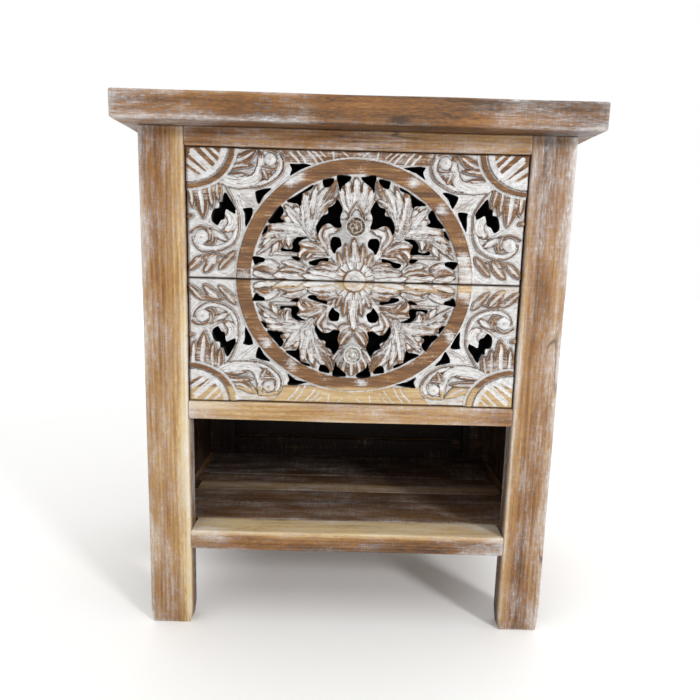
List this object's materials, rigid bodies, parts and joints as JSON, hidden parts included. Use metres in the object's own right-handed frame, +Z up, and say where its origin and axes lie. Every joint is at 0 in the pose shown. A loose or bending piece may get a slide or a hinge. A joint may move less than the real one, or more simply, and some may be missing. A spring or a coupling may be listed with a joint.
{
  "type": "nightstand",
  "caption": "Whitewashed wooden nightstand with pierced, carved drawer fronts that form a medallion, small turned knobs, an open shelf and an overhanging plank top.",
  "frame": {"origin": "floor level, under the middle of the top", "axes": "+X to the right, +Y from the front to the back, +Z up"},
  "size_m": [0.5, 0.35, 0.6],
  "materials": {
    "whitewashed_wood": "whitewashed, worn",
    "carved_wood": "whitewashed carving",
    "turned_wood": "whitewashed, worn",
    "dark_stained_wood": "black stain",
    "raw_softwood": "planed, bare",
    "brown_boards": "sawn, brown stain",
    "steel_fasteners": "zinc plated"
  },
  "bodies": {
    "carcass": {"back_board_1": "brown_boards", "back_board_2": "brown_boards", "back_board_3": "brown_boards", "drawer_stops": "raw_softwood", "front_mid_rail": "whitewashed_wood", "front_shelf_rail": "whitewashed_wood", "front_top_rail": "whitewashed_wood", "kicker_left": "raw_softwood", "kicker_right": "raw_softwood", "leg_front_left": "whitewashed_wood", "leg_front_right": "whitewashed_wood", "leg_rear_left": "whitewashed_wood", "leg_rear_right": "whitewashed_wood", "rear_shelf_rail": "whitewashed_wood", "rear_top_rail": "whitewashed_wood", "runner_lower_left": "raw_softwood", "runner_lower_right": "raw_softwood", "runner_upper_left": "raw_softwood", "runner_upper_right": "raw_softwood", "shelf_board_front": "brown_boards", "shelf_board_middle": "brown_boards", "shelf_board_rear": "brown_boards", "side_board_left_1": "whitewashed_wood", "side_board_left_2": "whitewashed_wood", "side_board_left_3": "whitewashed_wood", "side_board_right_1": "whitewashed_wood", "side_board_right_2": "whitewashed_wood", "side_board_right_3": "whitewashed_wood", "side_shelf_rail_left": "whitewashed_wood", "side_shelf_rail_right": "whitewashed_wood", "side_top_rail_left": "whitewashed_wood", "side_top_rail_right": "whitewashed_wood", "top_board_front": "whitewashed_wood", "top_board_middle": "whitewashed_wood", "top_board_rear": "whitewashed_wood", "top_screws": "steel_fasteners"},
    "upper_drawer": {"upper_drawer_back": "raw_softwood", "upper_drawer_bottom": "raw_softwood", "upper_drawer_bottom_nails": "steel_fasteners", "upper_drawer_carved_front": "carved_wood", "upper_drawer_front_screws": "steel_fasteners", "upper_drawer_inner_front": "dark_stained_wood", "upper_drawer_knob": "turned_wood", "upper_drawer_knob_screw": "steel_fasteners", "upper_drawer_side_left": "raw_softwood", "upper_drawer_side_right": "raw_softwood"},
    "lower_drawer": {"lower_drawer_back": "raw_softwood", "lower_drawer_bottom": "raw_softwood", "lower_drawer_bottom_nails": "steel_fasteners", "lower_drawer_carved_front": "carved_wood", "lower_drawer_front_screws": "steel_fasteners", "lower_drawer_inner_front": "dark_stained_wood", "lower_drawer_knob": "turned_wood", "lower_drawer_knob_screw": "steel_fasteners", "lower_drawer_side_left": "raw_softwood", "lower_drawer_side_right": "raw_softwood"}
  },
  "joints": [
    {"name": "upper_drawer_slide", "type": "slide", "parent": "carcass", "child": "upper_drawer", "axis": [0, -1, 0], "range_m": [0, 0.19]},
    {"name": "lower_drawer_slide", "type": "slide", "parent": "carcass", "child": "lower_drawer", "axis": [0, -1, 0], "range_m": [0, 0.19]}
  ]
}
